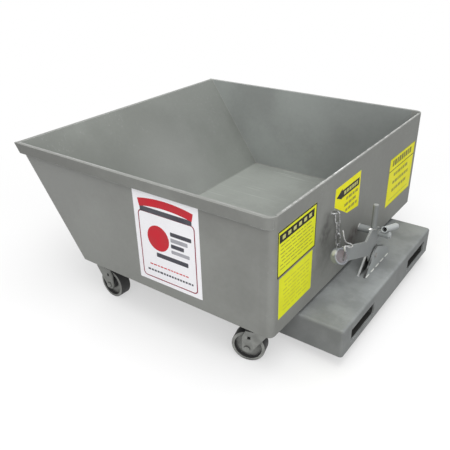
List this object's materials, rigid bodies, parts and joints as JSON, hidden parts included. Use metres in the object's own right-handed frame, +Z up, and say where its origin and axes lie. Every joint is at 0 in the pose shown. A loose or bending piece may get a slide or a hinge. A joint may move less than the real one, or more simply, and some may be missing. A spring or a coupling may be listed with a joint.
{
  "type": "tipping skip trolley",
  "caption": "Open sheet-steel skip with a sloping chute, hinged to a low base with fork pockets on swivel casters, held by a weighted hook latch.",
  "frame": {"origin": "on the ground, under the middle of the whole trolley", "axes": "+X towards the chute, the way the bin tips; +Y to the left; +Z up"},
  "size_m": [1.4266, 1.349, 0.6403],
  "materials": {
    "bin_paint": "mid-grey enamel, slightly mottled, worn bright on edges",
    "base_paint": "mid-grey enamel on folded plate",
    "latch_paint": "mid-grey enamel on flame-cut plate and pipe",
    "caster_steel": "grey overspray on pressed steel",
    "wheel_steel": "grey overspray on cast wheel, bare on the tread",
    "galvanised_steel": "galvanised, dull",
    "plain_steel": "plain steel",
    "bush_brass": "plain bearing bush"
  },
  "bodies": {
    "base": {"base_pan": "base_paint", "base_front_plate": "base_paint", "left_fork_pocket": "base_paint", "right_fork_pocket": "base_paint", "cross_bars": "base_paint", "front_outrigger": "base_paint", "rear_outrigger": "base_paint", "outrigger_gussets": "base_paint", "rest_pads": "base_paint", "hinge_ears": "base_paint", "hinge_pins": "plain_steel", "keeper_front_plate": "base_paint", "keeper_rear_plate": "base_paint", "keeper_pin": "plain_steel", "caster_bolts": "plain_steel", "front_left_caster_plate": "caster_steel", "front_right_caster_plate": "caster_steel", "rear_left_caster_plate": "caster_steel", "rear_right_caster_plate": "caster_steel", "front_left_kingpin": "plain_steel", "front_right_kingpin": "plain_steel", "rear_left_kingpin": "plain_steel", "rear_right_kingpin": "plain_steel"},
    "bin": {"left_side_panel": "bin_paint", "right_side_panel": "bin_paint", "rear_panel": "bin_paint", "floor_plate": "bin_paint", "chute_plate": "bin_paint", "left_rim": "bin_paint", "right_rim": "bin_paint", "front_rim": "bin_paint", "rear_edge_bar": "bin_paint", "hinge_lugs": "bin_paint", "latch_pivot_pin": "plain_steel", "latch_spacers": "plain_steel", "chain_staple": "galvanised_steel"},
    "latch_lever": {"lever_sleeve": "latch_paint", "lever_plate": "latch_paint", "lever_weight": "latch_paint", "lever_handle": "latch_paint", "tee_handle": "latch_paint"},
    "safety_chain": {"chain_links": "galvanised_steel", "chain_clip": "galvanised_steel"},
    "front_left_swivel": {"front_left_caster_fork": "caster_steel", "front_left_caster_axle": "plain_steel"},
    "front_left_wheel": {"front_left_caster_wheel": "wheel_steel", "front_left_wheel_bush": "bush_brass"},
    "front_right_swivel": {"front_right_caster_fork": "caster_steel", "front_right_caster_axle": "plain_steel"},
    "front_right_wheel": {"front_right_caster_wheel": "wheel_steel", "front_right_wheel_bush": "bush_brass"},
    "rear_left_swivel": {"rear_left_caster_fork": "caster_steel", "rear_left_caster_axle": "plain_steel"},
    "rear_left_wheel": {"rear_left_caster_wheel": "wheel_steel", "rear_left_wheel_bush": "bush_brass"},
    "rear_right_swivel": {"rear_right_caster_fork": "caster_steel", "rear_right_caster_axle": "plain_steel"},
    "rear_right_wheel": {"rear_right_caster_wheel": "wheel_steel", "rear_right_wheel_bush": "bush_brass"}
  },
  "joints": [
    {"name": "bin_tilt", "type": "hinge", "parent": "base", "child": "bin", "pos_m": [0.4057, 0, 0.1713], "axis": [0, 1, 0], "range_deg": [0, 65]},
    {"name": "latch_release", "type": "hinge", "parent": "bin", "child": "latch_lever", "pos_m": [-0.6193, -0.023, 0.3113], "axis": [1, 0, 0], "range_deg": [-8, 30]},
    {"name": "chain_swing", "type": "hinge", "parent": "bin", "child": "safety_chain", "pos_m": [-0.55663, 0.252, 0.50067], "axis": [0.9945, 0, -0.1045], "range_deg": [-30, 30]},
    {"name": "front_left_swivel", "type": "hinge", "parent": "base", "child": "front_left_swivel", "pos_m": [0.3297, 0.582, 0.133], "axis": [0, 0, 1], "continuous": true},
    {"name": "front_left_spin", "type": "hinge", "parent": "front_left_swivel", "child": "front_left_wheel", "pos_m": [0.29475, 0.58383, 0.0635], "axis": [-0.0523, -0.9986, 0], "continuous": true},
    {"name": "front_right_swivel", "type": "hinge", "parent": "base", "child": "front_right_swivel", "pos_m": [0.3297, -0.582, 0.133], "axis": [0, 0, 1], "continuous": true},
    {"name": "front_right_spin", "type": "hinge", "parent": "front_right_swivel", "child": "front_right_wheel", "pos_m": [0.29589, -0.57294, 0.0635], "axis": [-0.2588, -0.9659, 0], "continuous": true},
    {"name": "rear_left_swivel", "type": "hinge", "parent": "base", "child": "rear_left_swivel", "pos_m": [-0.4423, 0.582, 0.133], "axis": [0, 0, 1], "continuous": true},
    {"name": "rear_left_spin", "type": "hinge", "parent": "rear_left_swivel", "child": "rear_left_wheel", "pos_m": [-0.40858, 0.59135, 0.0635], "axis": [-0.2672, 0.9636, 0], "continuous": true},
    {"name": "rear_right_swivel", "type": "hinge", "parent": "base", "child": "rear_right_swivel", "pos_m": [-0.4423, -0.582, 0.133], "axis": [0, 0, 1], "continuous": true},
    {"name": "rear_right_spin", "type": "hinge", "parent": "rear_right_swivel", "child": "rear_right_wheel", "pos_m": [-0.40807, -0.58928, 0.0635], "axis": [0.2079, 0.9781, 0], "continuous": true}
  ]
}
